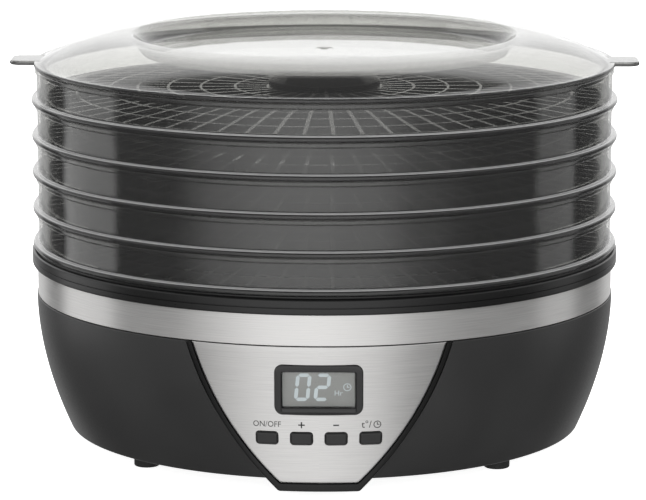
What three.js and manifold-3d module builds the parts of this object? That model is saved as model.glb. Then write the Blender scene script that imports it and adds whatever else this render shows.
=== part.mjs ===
// Round five-tray food dehydrator: smoky stacking trays and lid on a black base that holds
// a fan, a heater and an LCD control panel. Millimetres, +Z up, the front faces -Y, and the
// origin is in the middle of the feet, on the surface that they stand on.
import * as THREE from 'three';
import { mergeVertices } from 'three/addons/utils/BufferGeometryUtils.js';
import Module from 'manifold-3d';

const wasm = await Module();
wasm.setup();

// ---- driving dimensions ----
const GAP = 0.3; // clearance between neighbouring pieces
const ROUND = 24; // facets round the big rings
const FINE = 64; // facets round the control panel's surface
const SMALL = 16; // facets round the fan, duct and chimneys
const PIN = 10; // facets round screws, pins and other thin pieces
const TAU = Math.PI * 2;

// feet and base housing
const FOOT_HEIGHT = 8.5;
const FOOT_RADIUS = 7;
const FOOT_X = 95;
const FOOT_Y = 80;
const WALL = 2.5; // thickness of the housing wall
const BODY_TOP = 83.5; // where the steel band starts
const BODY_TOP_RADIUS = 160.9;
const BODY_TUCK = 18.2; // how far the wall curves in towards the feet
const BODY_TUCK_POWER = 1.9;
const NECK_RADIUS = 159.2; // the part of the housing that the band wraps
const BAND_TOP = 100.5;
const BAND_RADIUS = 160.4;
const BAND_THICKNESS = 0.8;
const COVER_THICKNESS = 2.5;
const COVER_RADIUS = 137.6;
const COVER_LEDGE_RADIUS = 128; // inner edge of the housing ledge that the cover screws to
const SCREW_CIRCLE = 132.8;
const GLAND_HEIGHT = 30;
const GLAND_RADIUS = 6;

// deck
const DECK_RADIUS = 163.2;
const DECK_SHOULDER = 108.8;
const DECK_PLATE_TOP = 105.7;
const DECK_PLATE_BOTTOM = 103.2;
const OUTLET_RADIUS = 31.3;
const GRILLE_HUB_RADIUS = 8;
const GRILLE_RING_RADIUS = 28.5; // inner radius of the grille's rim

// trays and lid
const TRAY_COUNT = 5;
const TRAY_PITCH = 20;
const STACK_BOTTOM = 110.2; // underside of the lowest tray's flange
const FLANGE_RADIUS = 162.5;
const FLANGE_THICKNESS = 3.1;
const TRAY_RADIUS = 159.5;
const TRAY_INNER_RADIUS = 157.5;
const SPIGOT_RADIUS = 157.1;
const SPIGOT_INNER_RADIUS = 155.1;
const SPIGOT_DEPTH = 4.2;
const FLOOR_TOP = 2.9; // above the flange's underside
const FLOOR_BOTTOM = -1.4;
const FLOOR_SLOTS = { inner: 42, outer: 148, width: 8, count: 18 };
const CHIMNEY_RADIUS = 31;
const CHIMNEY_WALL = 2.5;
const CHIMNEY_SHOULDER = 10.8;
const CHIMNEY_MOUTH_RADIUS = 26;
const CHIMNEY_TOP = 14.8;
const LID_BOTTOM = STACK_BOTTOM + TRAY_COUNT * TRAY_PITCH;
const LID_RIM_RADIUS = 161;
const LID_RIM_THICKNESS = 2.3;
const HANDLE_REACH = 174.1; // from the middle to a handle's tip
const HANDLE_WIDTH = 30;
const HANDLE_THICKNESS = 2.4;
const HANDLE_CORNER = 6;

// control panel: a cone that leans out towards its top
const PANEL_BOTTOM = 9;
const PANEL_TOP = 83.2;
const PANEL_BOTTOM_RADIUS = 152.2;
const PANEL_TOP_RADIUS = 161;
const PANEL_TILT = Math.atan2(PANEL_TOP_RADIUS - PANEL_BOTTOM_RADIUS, PANEL_TOP - PANEL_BOTTOM);
const PANEL_BOTTOM_HALF = 20.5; // half widths of the steel face
const PANEL_TOP_HALF = 66.3;
const PANEL_SWELL = [54, 41.5]; // where the side curves pull towards: half width, height
const PANEL_STEEL = 1.0; // thickness of the steel face
const CARRIER_DEPTH = 4; // back of the moulding that carries the steel face
const SURROUND_BORDER = 2.8;
const SURROUND_PROUD = 1.2;
const DISPLAY_HEIGHT = 60.1; // height of the display's middle
const BEZEL_SIZE = [45.6, 27];
const BEZEL_CORNER = 3.5;
const WINDOW_SIZE = [38.5, 19.8];
const BUTTON_HEIGHT = 33.6;
const BUTTON_SIZE = [11.8, 7.6];
const BUTTON_CORNER = 1.8;
const BUTTON_PROUD = 1.0;
const BUTTONS = { button_power: -27, button_plus: -9, button_minus: 9, button_mode: 27 };
const SWITCH_TIP = 9.9; // depth of a tact switch's tip behind the panel's middle line
const BUTTON_FREE_PLAY = 1.0; // space between a button's stem and its switch
const BOARD_DEPTH = 14.5;
const BOARD_THICKNESS = 1.6;

// fan, motor and heater, on the middle axis
const DUCT_RADIUS = 48;
const DUCT_INNER_RADIUS = 46;
const DUCT_BOTTOM = 52;
const MOUNT_TOP = 51.7;
const MOUNT_THICKNESS = 2.5;
const FAN_BOTTOM = 56;
const FAN_HEIGHT = 12;
const FAN_RADIUS = 42;
const BLADES = 7;
const SHAFT_RADIUS = 1.6;
const STATOR_BOTTOM = 30;
const STATOR_HEIGHT = 14;
const CORE_SIZE = [46, 40]; // X and Y of the motor's steel core
const CORE_BORE = 11;
const CORE_POST = [14, 24]; // X and Y of the post that carries the coil
const YOKE_DEPTH = 8;
const HEATER_BOTTOM = 74;
const HEATER_HEIGHT = 16;

// air intake and power board, in the base
const INTAKE = [[16, 30, 8], [34, 48, 12]]; // inner radius, outer radius and count of slots
const BOARD_PLACE = [92, 6];
const POWER_BOARD = [56, 84];
const POST_TOP = 20;
const SCREW_HEAD_DEPTH = 1.2;

// ---- materials ----
function finish(color, roughness, metalness = 0) {
  return new THREE.MeshStandardMaterial({ color, roughness, metalness });
}

function smoke() {
  const material = finish(0x6f6f69, 0.08);
  material.transparent = true;
  material.opacity = 0.45;
  return material;
}

const blackPlastic = () => finish(0x3a3a3c, 0.5);
const steel = () => finish(0xc9c7c4, 0.3, 1);
const rubber = () => finish(0x161616, 0.85);
const zinc = () => finish(0x9a9a98, 0.4, 1);
const copper = () => finish(0xa5522b, 0.4, 1);
const boardGreen = () => finish(0x1f5a34, 0.5);

// ---- geometry helpers ----
// Welds a closed geometry's shared corners and makes it a solid.
function solid(geometry) {
  const bare = geometry.clone();
  bare.deleteAttribute('normal');
  bare.deleteAttribute('uv');
  const welded = mergeVertices(bare, 1e-4);
  const corners = [];
  for (let i = 0; i < welded.index.count; i += 3) {
    const [a, b, c] = [0, 1, 2].map((k) => welded.index.getX(i + k));
    if (a !== b && b !== c && c !== a) corners.push(a, b, c);
  }
  return new wasm.Manifold(new wasm.Mesh({
    numProp: 3,
    vertProperties: new Float32Array(welded.attributes.position.array),
    triVerts: new Uint32Array(corners),
  }));
}

function geometryOf(manifold) {
  const mesh = manifold.getMesh();
  const geometry = new THREE.BufferGeometry();
  geometry.setAttribute('position', new THREE.BufferAttribute(new Float32Array(mesh.vertProperties), 3));
  geometry.setIndex(new THREE.BufferAttribute(new Uint32Array(mesh.triVerts), 1));
  const flat = geometry.toNonIndexed();
  flat.computeVertexNormals();
  return flat;
}

function piece(name, shape, material, position = [0, 0, 0]) {
  const geometry = shape.isBufferGeometry ? shape : geometryOf(shape);
  const mesh = new THREE.Mesh(geometry, material);
  mesh.name = name;
  mesh.position.set(...position);
  return mesh;
}

// Turns a closed outline of [radius, height] pairs, listed anticlockwise, round the Z axis.
function turned(outline, facets) {
  const points = [...outline, outline[0]].map(([r, z]) => new THREE.Vector2(r, z));
  return new THREE.LatheGeometry(points, facets).rotateX(Math.PI / 2);
}

function tube(inner, outer, bottom, top, facets) {
  return turned([[inner, bottom], [outer, bottom], [outer, top], [inner, top]], facets);
}

function rod(radius, bottom, top, facets = PIN) {
  return new THREE.CylinderGeometry(radius, radius, top - bottom, facets)
    .rotateX(Math.PI / 2)
    .translate(0, 0, (top + bottom) / 2);
}

// A box from its sizes and its middle.
function block(size, middle = [0, 0, 0]) {
  return new THREE.BoxGeometry(...size).translate(...middle);
}

function roundedOutline(width, height, radius) {
  const [w, h] = [width / 2, height / 2];
  const shape = new THREE.Shape();
  shape.absarc(w - radius, h - radius, radius, 0, TAU / 4);
  shape.absarc(-w + radius, h - radius, radius, TAU / 4, TAU / 2);
  shape.absarc(-w + radius, -h + radius, radius, TAU / 2, (3 * TAU) / 4);
  shape.absarc(w - radius, -h + radius, radius, (3 * TAU) / 4, TAU);
  return shape;
}

// A flat plate: an outline in X and Y, from one height to another.
function plate(shape, bottom, top, curveSegments = 3) {
  return new THREE.ExtrudeGeometry(shape, { depth: top - bottom, bevelEnabled: false, curveSegments })
    .translate(0, 0, bottom);
}

// A plate that stands upright: an outline in X and Z, from a front depth to a back depth along Y.
function upright(shape, front, back, curveSegments = 3) {
  return plate(shape, -back, -front, curveSegments).rotateX(Math.PI / 2);
}

// Holes shaped as sectors of a ring, evenly spread, with a bar of the given width between them.
function sectorHoles(inner, outer, count, bar, steps = 2) {
  const holes = [];
  for (let i = 0; i < count; i += 1) {
    const middle = (TAU * (i + 0.5)) / count;
    const corner = (radius, side, part = 1) => {
      const half = Math.PI / count - bar / 2 / radius;
      return new THREE.Vector2(
        radius * Math.cos(middle + side * part * half),
        radius * Math.sin(middle + side * part * half),
      );
    };
    const hole = [corner(inner, -1), corner(inner, 1)];
    for (let k = 0; k <= steps; k += 1) {
      hole.push(corner(outer, 1, 1 - (2 * k) / steps));
    }
    holes.push(new THREE.Path(hole));
  }
  return holes;
}

function disc(radius, facets) {
  const points = [];
  for (let i = 0; i < facets; i += 1) {
    const angle = (TAU * i) / facets;
    points.push(new THREE.Vector2(radius * Math.cos(angle), radius * Math.sin(angle)));
  }
  return points;
}

function spread(count, make, phase = 0) {
  return Array.from({ length: count }, (_, i) => make(i, phase + (TAU * i) / count));
}

function joined(first, ...others) {
  return others.reduce((sum, next) => sum.add(solid(next)), solid(first));
}

function cut(body, ...tools) {
  return tools.reduce((rest, tool) => rest.subtract(solid(tool)), body);
}

// ---- trays and lid ----
// A flat floor with slots like spokes.
function trayFloor() {
  const { inner, outer, width, count } = FLOOR_SLOTS;
  const face = new THREE.Shape(disc((SPIGOT_INNER_RADIUS + SPIGOT_RADIUS) / 2, ROUND));
  face.holes.push(new THREE.Path(disc(CHIMNEY_RADIUS - CHIMNEY_WALL / 2, SMALL)));
  face.holes.push(...spread(count, (_, angle) => {
    const corners = [[inner, -1], [inner, 1], [outer, 1], [outer, -1]];
    return new THREE.Path(corners.map(([radius, side]) => (
      new THREE.Vector2(radius, (side * width) / 2).rotateAround(new THREE.Vector2(), angle)
    )));
  }));
  return plate(face, FLOOR_BOTTOM, FLOOR_TOP);
}

function chimney() {
  const bore = CHIMNEY_RADIUS - CHIMNEY_WALL;
  return turned([
    [bore, FLOOR_BOTTOM], [CHIMNEY_RADIUS, FLOOR_BOTTOM], [CHIMNEY_RADIUS, CHIMNEY_SHOULDER],
    [CHIMNEY_MOUTH_RADIUS, CHIMNEY_TOP], [CHIMNEY_MOUTH_RADIUS - 2, CHIMNEY_TOP],
    [bore, CHIMNEY_SHOULDER + 0.4],
  ], SMALL);
}

function tray(index) {
  const top = TRAY_PITCH - GAP;
  const wall = turned([
    [SPIGOT_INNER_RADIUS, -SPIGOT_DEPTH], [SPIGOT_RADIUS, -SPIGOT_DEPTH], [SPIGOT_RADIUS, 0],
    [FLANGE_RADIUS, 0], [FLANGE_RADIUS, FLANGE_THICKNESS], [TRAY_RADIUS, FLANGE_THICKNESS],
    [TRAY_RADIUS, top], [TRAY_INNER_RADIUS, top], [TRAY_INNER_RADIUS, FLOOR_TOP],
    [SPIGOT_INNER_RADIUS, FLOOR_TOP],
  ], ROUND);
  const body = joined(wall, trayFloor(), chimney());
  const height = STACK_BOTTOM + (TRAY_COUNT - index) * TRAY_PITCH;
  return piece(`tray_${index}`, body, smoke(), [0, 0, height]);
}

function lid() {
  const shell = turned([
    [0, 5.9], [101, 5.9], [107, 14.6], [116, 13.9], [140, 8],
    [SPIGOT_INNER_RADIUS, 0.4], [SPIGOT_INNER_RADIUS, -SPIGOT_DEPTH], [SPIGOT_RADIUS, -SPIGOT_DEPTH],
    [SPIGOT_RADIUS, 0], [LID_RIM_RADIUS, 0], [LID_RIM_RADIUS, LID_RIM_THICKNESS],
    [157, LID_RIM_THICKNESS], [145, 8.4], [130, 13.5], [113, 16.5], [107, 16.9],
    [100, 8.1], [0, 8.1],
  ], ROUND);
  const tab = roundedOutline(2 * HANDLE_REACH, HANDLE_WIDTH, HANDLE_CORNER);
  const inside = LID_RIM_RADIUS - 3;
  const tabs = solid(plate(tab, 0, HANDLE_THICKNESS)).subtract(solid(rod(inside, -5, 5, ROUND)));
  return piece('lid', solid(shell).add(tabs), smoke(), [0, 0, LID_BOTTOM]);
}

// ---- base housing ----
// Outer radius of the curved housing wall at a height.
function bodyRadius(z) {
  const down = (BODY_TOP - z) / (BODY_TOP - FOOT_HEIGHT);
  return BODY_TOP_RADIUS - BODY_TUCK * down ** BODY_TUCK_POWER;
}

// Points down or up the curved wall, moved inwards by some distance.
function bodyCurve(inwards, from, to, steps) {
  return Array.from({ length: steps + 1 }, (_, i) => {
    const z = from + ((to - from) * i) / steps;
    return [bodyRadius(z) - inwards, z];
  });
}

function lowerHousing() {
  const ledge = FOOT_HEIGHT + COVER_THICKNESS + GAP;
  const rimRadius = COVER_RADIUS + GAP;
  const shell = turned([
    ...bodyCurve(0, FOOT_HEIGHT, BODY_TOP, 5),
    [NECK_RADIUS, BODY_TOP], [NECK_RADIUS, BAND_TOP - GAP], [NECK_RADIUS - WALL, BAND_TOP - GAP],
    ...bodyCurve(WALL, BODY_TOP - WALL, ledge + WALL, 4),
    [COVER_LEDGE_RADIUS, ledge + WALL], [COVER_LEDGE_RADIUS, ledge], [rimRadius, ledge],
    [rimRadius, FOOT_HEIGHT],
  ], ROUND);
  const opening = panelBlock(SURROUND_BORDER + GAP, rimWallInside() + GAP, 40);
  const screwHoles = screwPlaces().map(([x, y]) => rod(2, 5, 20).translate(x, y, 0));
  const glandHole = rod(GLAND_RADIUS + GAP, 120, 170, 12)
    .rotateX(-Math.PI / 2)
    .translate(0, 0, GLAND_HEIGHT);
  const body = cut(solid(shell).subtract(opening), ...screwHoles, glandHole);
  return piece('lower_housing', body, blackPlastic());
}

function screwPlaces() {
  const place = (_, angle) => [SCREW_CIRCLE * Math.cos(angle), SCREW_CIRCLE * Math.sin(angle)];
  return spread(4, place, TAU / 8);
}

function steelBand() {
  const ring = tube(BAND_RADIUS - BAND_THICKNESS, BAND_RADIUS, BODY_TOP + GAP, BAND_TOP - GAP, ROUND);
  return piece('steel_band', ring, steel());
}

function topDeck() {
  const seat = STACK_BOTTOM - GAP;
  const skirt = NECK_RADIUS - WALL - 0.5;
  const deck = turned([
    [OUTLET_RADIUS, DECK_PLATE_BOTTOM], [skirt - 2, DECK_PLATE_BOTTOM], [skirt - 2, 96], [skirt, 96],
    [skirt, BAND_TOP], [DECK_RADIUS, BAND_TOP], [DECK_RADIUS, DECK_SHOULDER - 0.8],
    [DECK_RADIUS - 0.8, DECK_SHOULDER], [160.6, DECK_SHOULDER], [160.6, seat],
    [TRAY_INNER_RADIUS, seat], [TRAY_INNER_RADIUS, DECK_PLATE_TOP], [OUTLET_RADIUS, DECK_PLATE_TOP],
  ], ROUND);
  return piece('top_deck', deck, blackPlastic());
}

function outletGrille() {
  const face = new THREE.Shape(disc(OUTLET_RADIUS + 3, SMALL));
  face.holes.push(...sectorHoles(GRILLE_HUB_RADIUS, GRILLE_RING_RADIUS, 4, 3, 3));
  const bottom = DECK_PLATE_TOP + GAP;
  return piece('outlet_grille', plate(face, bottom, bottom + 1.6), blackPlastic());
}

function bottomCover() {
  const face = new THREE.Shape(disc(COVER_RADIUS, ROUND));
  const rings = INTAKE.map(([inner, outer, count]) => sectorHoles(inner, outer, count, 4, 1));
  face.holes.push(...rings.flat());
  const top = FOOT_HEIGHT + COVER_THICKNESS;
  const corners = [[-1, -1], [1, -1], [1, 1], [-1, 1]];
  const posts = corners.map(([sx, sy]) => rod(3, FOOT_HEIGHT + 1, POST_TOP, 8).translate(
    BOARD_PLACE[0] + sx * (POWER_BOARD[0] / 2 - 5),
    BOARD_PLACE[1] + sy * (POWER_BOARD[1] / 2 - 5),
    0,
  ));
  const seat = FOOT_HEIGHT + SCREW_HEAD_DEPTH;
  const screwHoles = screwPlaces().map(([x, y]) => rod(2, 5, 20).translate(x, y, 0));
  const headSeats = screwPlaces().map(([x, y]) => rod(3.6, 5, seat).translate(x, y, 0));
  const body = cut(joined(plate(face, FOOT_HEIGHT, top), ...posts), ...screwHoles, ...headSeats);
  return piece('bottom_cover', body, blackPlastic());
}

function coverScrews() {
  const seat = FOOT_HEIGHT + SCREW_HEAD_DEPTH - GAP;
  return screwPlaces().map(([x, y], i) => {
    const screw = joined(rod(3.2, FOOT_HEIGHT - 0.6, seat), rod(SHAFT_RADIUS, seat - 1, seat + 9));
    return piece(`cover_screw_${i + 1}`, screw, zinc(), [x, y, 0]);
  });
}

function feet() {
  const places = [[-1, -1], [1, -1], [1, 1], [-1, 1]];
  const outline = [
    [0, 0], [FOOT_RADIUS - 1, 0], [FOOT_RADIUS, 1], [FOOT_RADIUS, FOOT_HEIGHT - GAP],
    [0, FOOT_HEIGHT - GAP],
  ];
  return places.map(([x, y], i) => piece(
    `foot_${i + 1}`,
    turned(outline, 12),
    rubber(),
    [x * FOOT_X, y * FOOT_Y, 0],
  ));
}

function cordGland() {
  const bore = 3.4;
  const collar = GLAND_RADIUS + 2.5;
  const inside = bodyRadius(GLAND_HEIGHT) - 10;
  const seat = bodyRadius(GLAND_HEIGHT + collar) + GAP;
  const bush = turned([
    [bore, inside], [GLAND_RADIUS, inside], [GLAND_RADIUS, seat], [collar, seat],
    [collar, seat + 2.5], [bore, seat + 2.5],
  ], 12).rotateX(-Math.PI / 2);
  return piece('cord_gland', bush, rubber(), [0, 0, GLAND_HEIGHT]);
}

// ---- control panel ----
function panelRadius(z) {
  const up = (z - PANEL_BOTTOM) / (PANEL_TOP - PANEL_BOTTOM);
  return PANEL_BOTTOM_RADIUS + (PANEL_TOP_RADIUS - PANEL_BOTTOM_RADIUS) * up;
}

// The panel's outline in X and Z, grown outwards all round except at its straight top edge.
function panelOutline(grow) {
  const bottom = PANEL_BOTTOM - 1.65 * grow;
  const [low, high] = [PANEL_BOTTOM_HALF + 0.25 * grow, PANEL_TOP_HALF + 1.05 * grow];
  const swell = [PANEL_SWELL[0] + 0.9 * grow, PANEL_SWELL[1] - 0.5 * grow];
  const top = PANEL_TOP + Math.max(0, Math.min(grow, GAP));
  const shape = new THREE.Shape();
  shape.moveTo(-low, bottom);
  shape.lineTo(low, bottom);
  shape.quadraticCurveTo(swell[0], swell[1], high, top);
  shape.lineTo(-high, top);
  shape.quadraticCurveTo(-swell[0], swell[1], -low, bottom);
  return shape;
}

// How far behind the housing's surface the surround's rim wall reaches.
function rimWallInside() {
  return WALL + 2;
}

// The space inside the panel's outline, between two turned surfaces: one set in from the
// housing's wall, one standing proud of the panel's cone.
function panelBlock(grow, inside, proud) {
  const [low, high] = [PANEL_BOTTOM - 9, PANEL_TOP + 2];
  const slab = turned([
    [panelRadius(low) + proud, low], [panelRadius(high) + proud, high],
    [BODY_TOP_RADIUS - inside, high], ...bodyCurve(inside, BODY_TOP, FOOT_HEIGHT, 5),
    [bodyRadius(FOOT_HEIGHT) - inside, low],
  ], FINE);
  return solid(slab).intersect(solid(upright(panelOutline(grow), -210, -100, 6)));
}

// Everything inside the panel's outline that lies deeper than a depth behind the cone.
function behindPanel(grow, depth) {
  const [low, high] = [PANEL_BOTTOM - 9, PANEL_TOP + 2];
  const core = turned([
    [90, low], [panelRadius(low) - depth, low], [panelRadius(high) - depth, high], [90, high],
  ], FINE);
  return solid(core).intersect(solid(upright(panelOutline(grow), -210, -60, 6)));
}

function outsidePanel(grow, depth) {
  const [low, high] = [PANEL_BOTTOM - 9, PANEL_TOP + 2];
  const skin = turned([
    [panelRadius(low) - depth, low], [180, low], [180, high], [panelRadius(high) - depth, high],
  ], FINE);
  return solid(skin).intersect(solid(upright(panelOutline(grow), -210, -60, 6)));
}

// Puts a solid that faces -Y, with its origin on the panel's surface, at a place on the panel.
function ontoPanel(manifold, height, angle = 0) {
  const degrees = 180 / Math.PI;
  return manifold
    .rotate([PANEL_TILT * degrees, 0, 0])
    .translate([0, -panelRadius(height), height])
    .rotate([0, 0, angle * degrees]);
}

function buttonAngle(x) {
  return Math.asin(x / panelRadius(BUTTON_HEIGHT));
}

function grownOutline([width, height], radius, grow) {
  return roundedOutline(width + 2 * grow, height + 2 * grow, radius + grow);
}

// The holes for the display and the buttons, as solids to cut away.
function panelOpenings() {
  const display = solid(upright(grownOutline(BEZEL_SIZE, BEZEL_CORNER, GAP), -10, 9));
  const slot = solid(upright(grownOutline(BUTTON_SIZE, BUTTON_CORNER, GAP), -10, 9));
  const slots = Object.values(BUTTONS).map((x) => ontoPanel(slot, BUTTON_HEIGHT, buttonAngle(x)));
  return slots.reduce((sum, next) => sum.add(next), ontoPanel(display, DISPLAY_HEIGHT));
}

function panelSurround() {
  const body = panelBlock(SURROUND_BORDER, rimWallInside(), SURROUND_PROUD)
    .subtract(outsidePanel(GAP, PANEL_STEEL + GAP))
    .subtract(behindPanel(-2, CARRIER_DEPTH))
    .subtract(panelOpenings());
  return piece('panel_surround', body, blackPlastic());
}

function controlPanel() {
  const skin = outsidePanel(0, PANEL_STEEL).subtract(outsidePanel(4, 0)).subtract(panelOpenings());
  return piece('control_panel', skin, steel());
}

// A group whose origin is on the panel's surface and whose -Y axis points straight out of it.
function panelGroup(height, angle, ...children) {
  const tilted = new THREE.Group();
  tilted.position.set(0, -panelRadius(height), height);
  tilted.rotation.x = PANEL_TILT;
  tilted.add(...children);
  const turnedGroup = new THREE.Group();
  turnedGroup.rotation.z = angle;
  turnedGroup.add(tilted);
  return turnedGroup;
}

function display() {
  const bezel = solid(upright(roundedOutline(...BEZEL_SIZE, BEZEL_CORNER), -0.4, 7))
    .subtract(solid(upright(roundedOutline(...WINDOW_SIZE, 0.5), -2, 9, 1)));
  const [width, height] = WINDOW_SIZE.map((size) => size - 2 * GAP);
  return panelGroup(
    DISPLAY_HEIGHT,
    0,
    piece('display_bezel', bezel, finish(0x2c2c2e, 0.4)),
    piece('display_lens', block([width, 1.2, height], [0, 0.9, 0]), finish(0xdfe6e8, 0.05)),
    piece('lcd_module', block([width, 3.6, height], [0, 3.6, 0]), finish(0x6d756f, 0.3)),
  );
}

function button(name, x) {
  const angle = buttonAngle(x);
  const sag = panelRadius(BUTTON_HEIGHT) * (1 - Math.cos(angle));
  const flange = CARRIER_DEPTH + GAP;
  const stemEnd = (SWITCH_TIP - BUTTON_FREE_PLAY - sag) / Math.cos(angle) - GAP;
  const body = joined(
    upright(roundedOutline(...BUTTON_SIZE, BUTTON_CORNER), -BUTTON_PROUD, flange + 0.5),
    block([BUTTON_SIZE[0] + 2.2, 1.2, BUTTON_SIZE[1] + 2.2], [0, flange + 0.6, 0]),
    block([3, stemEnd - flange, 3], [0, (stemEnd + flange) / 2, 0]),
  );
  return panelGroup(BUTTON_HEIGHT, angle, piece(name, body, finish(0x2a2a2c, 0.35)));
}

function controlBoard() {
  const middle = (DISPLAY_HEIGHT + BUTTON_HEIGHT) / 2 + 1;
  const tilted = Math.cos(PANEL_TILT);
  const board = piece(
    'control_board',
    block([66, BOARD_THICKNESS, 50], [0, BOARD_DEPTH + BOARD_THICKNESS / 2, 0]),
    boardGreen(),
  );
  const base = BOARD_DEPTH - GAP;
  const switches = Object.entries(BUTTONS).map(([name, x]) => {
    const body = joined(
      block([6, base - SWITCH_TIP - 0.8, 6], [0, (base + SWITCH_TIP + 0.8) / 2, 0]),
      rod(1.7, -SWITCH_TIP - 2, -SWITCH_TIP, 8).rotateX(Math.PI / 2),
    );
    const place = [x, 0, (BUTTON_HEIGHT - middle) / tilted];
    return piece(name.replace('button', 'switch'), body, finish(0x1c1c1c, 0.5), place);
  });
  return panelGroup(middle, 0, board, ...switches);
}

// ---- air system ----
function airDuct() {
  const top = DECK_PLATE_BOTTOM - GAP;
  const duct = turned([
    [DUCT_INNER_RADIUS, DUCT_BOTTOM], [DUCT_RADIUS, DUCT_BOTTOM], [DUCT_RADIUS, top - 2.5],
    [DUCT_RADIUS + 8, top - 2.5], [DUCT_RADIUS + 8, top], [DUCT_INNER_RADIUS, top],
  ], SMALL);
  return piece('air_duct', duct, finish(0x8b8b87, 0.45, 0.9));
}

function heaterFrame() {
  const reach = 2 * (DUCT_INNER_RADIUS - 1);
  const z = HEATER_BOTTOM + HEATER_HEIGHT / 2;
  const cross = joined(
    block([reach, 1, HEATER_HEIGHT], [0, 0, z]),
    block([1, reach, HEATER_HEIGHT], [0, 0, z]),
  );
  return piece('heater_frame', cross, finish(0xb9a98a, 0.7));
}

function heaterCoil() {
  const wire = 1.2;
  const [inner, outer, turns] = [12, 41, 3];
  const z = HEATER_BOTTOM + HEATER_HEIGHT + wire + GAP;
  const spiral = [];
  for (let i = 0; i <= 24; i += 1) {
    const part = i / 24;
    const radius = inner + (outer - inner) * part;
    spiral.push(new THREE.Vector3(
      radius * Math.cos(TAU * turns * part),
      radius * Math.sin(TAU * turns * part),
      z,
    ));
  }
  const coil = new THREE.ExtrudeGeometry(new THREE.Shape(disc(wire, 4)), {
    steps: 36,
    bevelEnabled: false,
    extrudePath: new THREE.CatmullRomCurve3(spiral),
  });
  return piece('heater_coil', coil, finish(0x77716b, 0.45, 1));
}

function safetyParts() {
  const fuse = rod(2, 8, 19, 8).rotateY(Math.PI / 2);
  const sensor = new THREE.SphereGeometry(2, 8, 5);
  return [
    piece('thermal_fuse', fuse, finish(0xb7a14a, 0.35, 1), [0, 3.2, HEATER_BOTTOM + 11]),
    piece('temperature_sensor', sensor, finish(0x202020, 0.5), [30, 24, 98.5]),
  ];
}

function fan() {
  const hubRadius = 9;
  const middle = FAN_BOTTOM + FAN_HEIGHT / 2;
  const span = FAN_RADIUS - hubRadius + 1;
  const blades = spread(BLADES, (_, angle) => block([span, 1.6, 14])
    .rotateX(TAU / 9)
    .translate(hubRadius - 1 + span / 2, 0, middle)
    .rotateZ(angle));
  const hub = joined(rod(hubRadius, FAN_BOTTOM, FAN_BOTTOM + FAN_HEIGHT, 14), ...blades);
  return piece('fan_rotor', cut(hub, rod(SHAFT_RADIUS + GAP, 0, 100)), finish(0x5c5c5a, 0.6));
}

function motorMount() {
  const bottom = MOUNT_TOP - MOUNT_THICKNESS;
  const hub = 24;
  const arm = block([20, 9, MOUNT_THICKNESS], [hub + 9, 0, MOUNT_TOP - MOUNT_THICKNESS / 2]);
  const arms = spread(3, (_, angle) => arm.clone().rotateZ(angle), TAU / 4);
  const body = joined(
    tube(SHAFT_RADIUS + 3, hub, bottom, MOUNT_TOP, SMALL),
    tube(DUCT_INNER_RADIUS - 4, DUCT_RADIUS + 4, bottom, MOUNT_TOP, SMALL),
    ...arms,
  );
  return piece('motor_mount', body, zinc());
}

// A shaded-pole motor: its core stands to one side of the shaft and carries the coil.
function motorCore() {
  const core = roundedOutline(...CORE_SIZE, 2);
  core.holes.push(new THREE.Path(disc(CORE_BORE, 20)));
  const z = STATOR_BOTTOM + STATOR_HEIGHT / 2;
  const postStart = CORE_SIZE[1] / 2 - 2;
  const postEnd = postStart + CORE_POST[1];
  const body = joined(
    plate(core, STATOR_BOTTOM, STATOR_BOTTOM + STATOR_HEIGHT),
    block([...CORE_POST, STATOR_HEIGHT], [0, (postStart + postEnd) / 2, z]),
    block([CORE_SIZE[0], YOKE_DEPTH, STATOR_HEIGHT], [0, postEnd, z]),
  );
  return piece('motor_core', body, zinc());
}

function motorCoil() {
  const z = STATOR_BOTTOM + STATOR_HEIGHT / 2;
  const y = CORE_SIZE[1] / 2 + 9;
  const outer = block([30, 14, STATOR_HEIGHT + 9], [0, y, z]);
  const inner = block([CORE_POST[0] + 2 * GAP, 20, STATOR_HEIGHT + 2 * GAP], [0, y, z]);
  return piece('motor_coil', cut(solid(outer), inner), copper());
}

function motorTurningParts() {
  const top = STATOR_BOTTOM + STATOR_HEIGHT;
  const rotor = tube(SHAFT_RADIUS + GAP, CORE_BORE - 0.6, STATOR_BOTTOM, top, 20);
  return [
    piece('motor_rotor', rotor, finish(0x8d8a86, 0.45, 1)),
    piece('motor_shaft', rod(SHAFT_RADIUS, 22, FAN_BOTTOM + FAN_HEIGHT + 4), steel()),
  ];
}

// Two bridges over the core hold the shaft's bearings.
function motorBridges() {
  const bridge = (name, bottom) => {
    const strip = block([12, CORE_SIZE[1], 2], [0, 0, bottom + 1]);
    return piece(name, cut(solid(strip), rod(SHAFT_RADIUS + GAP, 0, 100)), finish(0xb08a4a, 0.4, 1));
  };
  return [
    bridge('upper_bearing_bridge', STATOR_BOTTOM + STATOR_HEIGHT + GAP),
    bridge('lower_bearing_bridge', STATOR_BOTTOM - GAP - 2),
  ];
}

// ---- electrics ----
function powerElectrics() {
  const [x, y] = BOARD_PLACE;
  const boardBottom = POST_TOP + GAP;
  const top = boardBottom + BOARD_THICKNESS + GAP;
  const onBoard = (name, size, offset, material) => piece(
    name,
    block(size, [0, 0, size[2] / 2]),
    material,
    [x + offset[0], y + offset[1], top],
  );
  return [
    piece('power_board', block([...POWER_BOARD, BOARD_THICKNESS]), boardGreen(), [x, y, boardBottom + 0.8]),
    onBoard('transformer', [30, 26, 22], [4, 22], finish(0xc9a53a, 0.6)),
    onBoard('relay', [19, 15.5, 15], [8, -6], finish(0x1d1d1f, 0.4)),
    onBoard('terminal_block', [30, 10, 12], [2, -30], finish(0x2f6f3c, 0.5)),
    piece('capacitor', rod(6, 0, 16, 12), finish(0x26324f, 0.4), [x - 16, y - 8, top]),
  ];
}

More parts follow.
